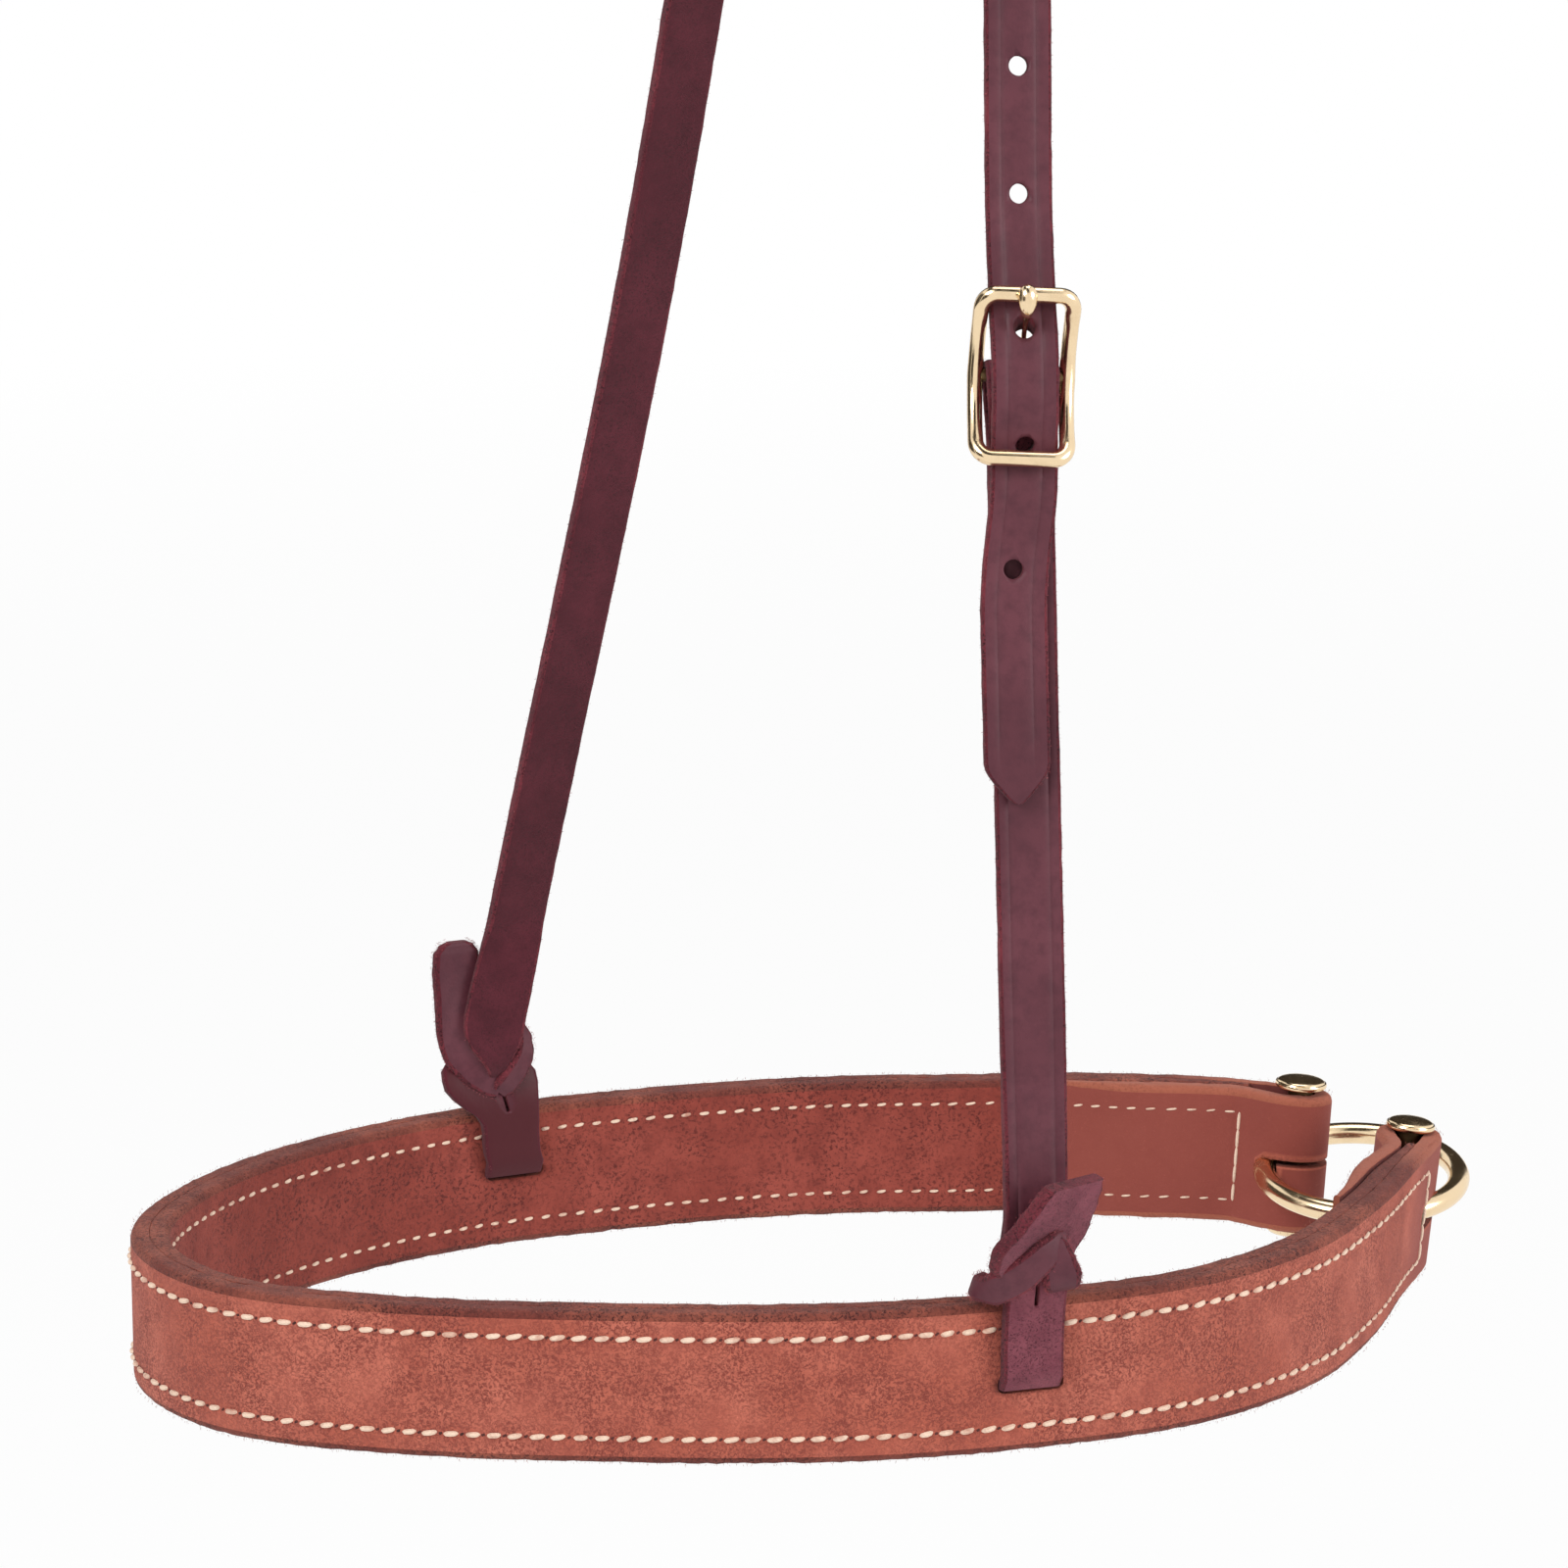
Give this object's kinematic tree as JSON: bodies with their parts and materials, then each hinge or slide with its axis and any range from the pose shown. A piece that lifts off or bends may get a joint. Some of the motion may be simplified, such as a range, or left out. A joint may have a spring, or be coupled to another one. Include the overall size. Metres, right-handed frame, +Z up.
{
  "type": "tie-down noseband",
  "caption": "Two-ply stitched harness leather noseband with a brass tie-down ring, hung from a narrow buckled leather hanger strap tied on with slit-braided knots.",
  "frame": {"origin": "middle of the underside of the crown of the hanger strap, where a peg, a hand or the poll carries it", "axes": "+Z up along the hanger, +X from the nose towards the tie-down ring, +Y from the near side to the far side"},
  "size_m": [0.2432, 0.1523, 0.4267],
  "materials": {
    "band_leather": "rough-out reddish brown",
    "lining_leather": "rough-out reddish brown, a little darker",
    "hanger_leather": "smooth dark plum grain with fuzzy red cut edges",
    "ring_brass": "polished",
    "post_brass": "polished, lightly worn",
    "buckle_brass": "satin, lightly worn"
  },
  "bodies": {
    "hanger": {"crown_strap": "hanger_leather", "cheek_strap": "hanger_leather"},
    "noseband": {"band_outer_ply": "band_leather", "band_liner": "lining_leather", "near_knot": "hanger_leather", "far_knot": "hanger_leather"},
    "ring": {"tie_down_ring": "ring_brass"},
    "near_pin": {"near_post": "post_brass"},
    "near_screw": {"near_post_screw": "post_brass"},
    "far_pin": {"far_post": "post_brass"},
    "far_screw": {"far_post_screw": "post_brass"},
    "buckle": {"buckle_frame": "buckle_brass"},
    "prong": {"buckle_prong": "buckle_brass"}
  },
  "joints": [
    {"name": "noseband_swing", "type": "hinge", "parent": "hanger", "child": "noseband", "pos_m": [-0.03279, -0.00188, -0.37812], "axis": [-0.6365, 0.7713, 0], "range_deg": [-10, 10]},
    {"name": "ring_tilt", "type": "hinge", "parent": "noseband", "child": "ring", "pos_m": [0.07599, 0.04963, -0.40804], "axis": [-0.6512, 0.7505, 0.1126], "range_deg": [-3, 3]},
    {"name": "near_post_turn", "type": "hinge", "parent": "noseband", "child": "near_pin", "pos_m": [0.08887, 0.04553, -0.40912], "axis": [0.0958, 0, 0.9954], "continuous": true},
    {"name": "near_screw_draw", "type": "slide", "parent": "near_pin", "child": "near_screw", "axis": [-0.0958, 0, -0.9954], "range_m": [0, 0.024]},
    {"name": "far_post_turn", "type": "hinge", "parent": "noseband", "child": "far_pin", "pos_m": [0.07027, 0.06133, -0.40612], "axis": [0.0611, 0, 0.9981], "continuous": true},
    {"name": "far_screw_draw", "type": "slide", "parent": "far_pin", "child": "far_screw", "axis": [-0.0611, 0, -0.9981], "range_m": [0, 0.024]},
    {"name": "buckle_rock", "type": "hinge", "parent": "hanger", "child": "buckle", "pos_m": [0.01223, -0.04459, -0.242], "axis": [0.9945, 0.105, 0.0033], "range_deg": [-1, 1]},
    {"name": "prong_lift", "type": "hinge", "parent": "buckle", "child": "prong", "pos_m": [0.01223, -0.04459, -0.242], "axis": [0.9945, 0.105, 0.0033], "range_deg": [0, 5]}
  ]
}
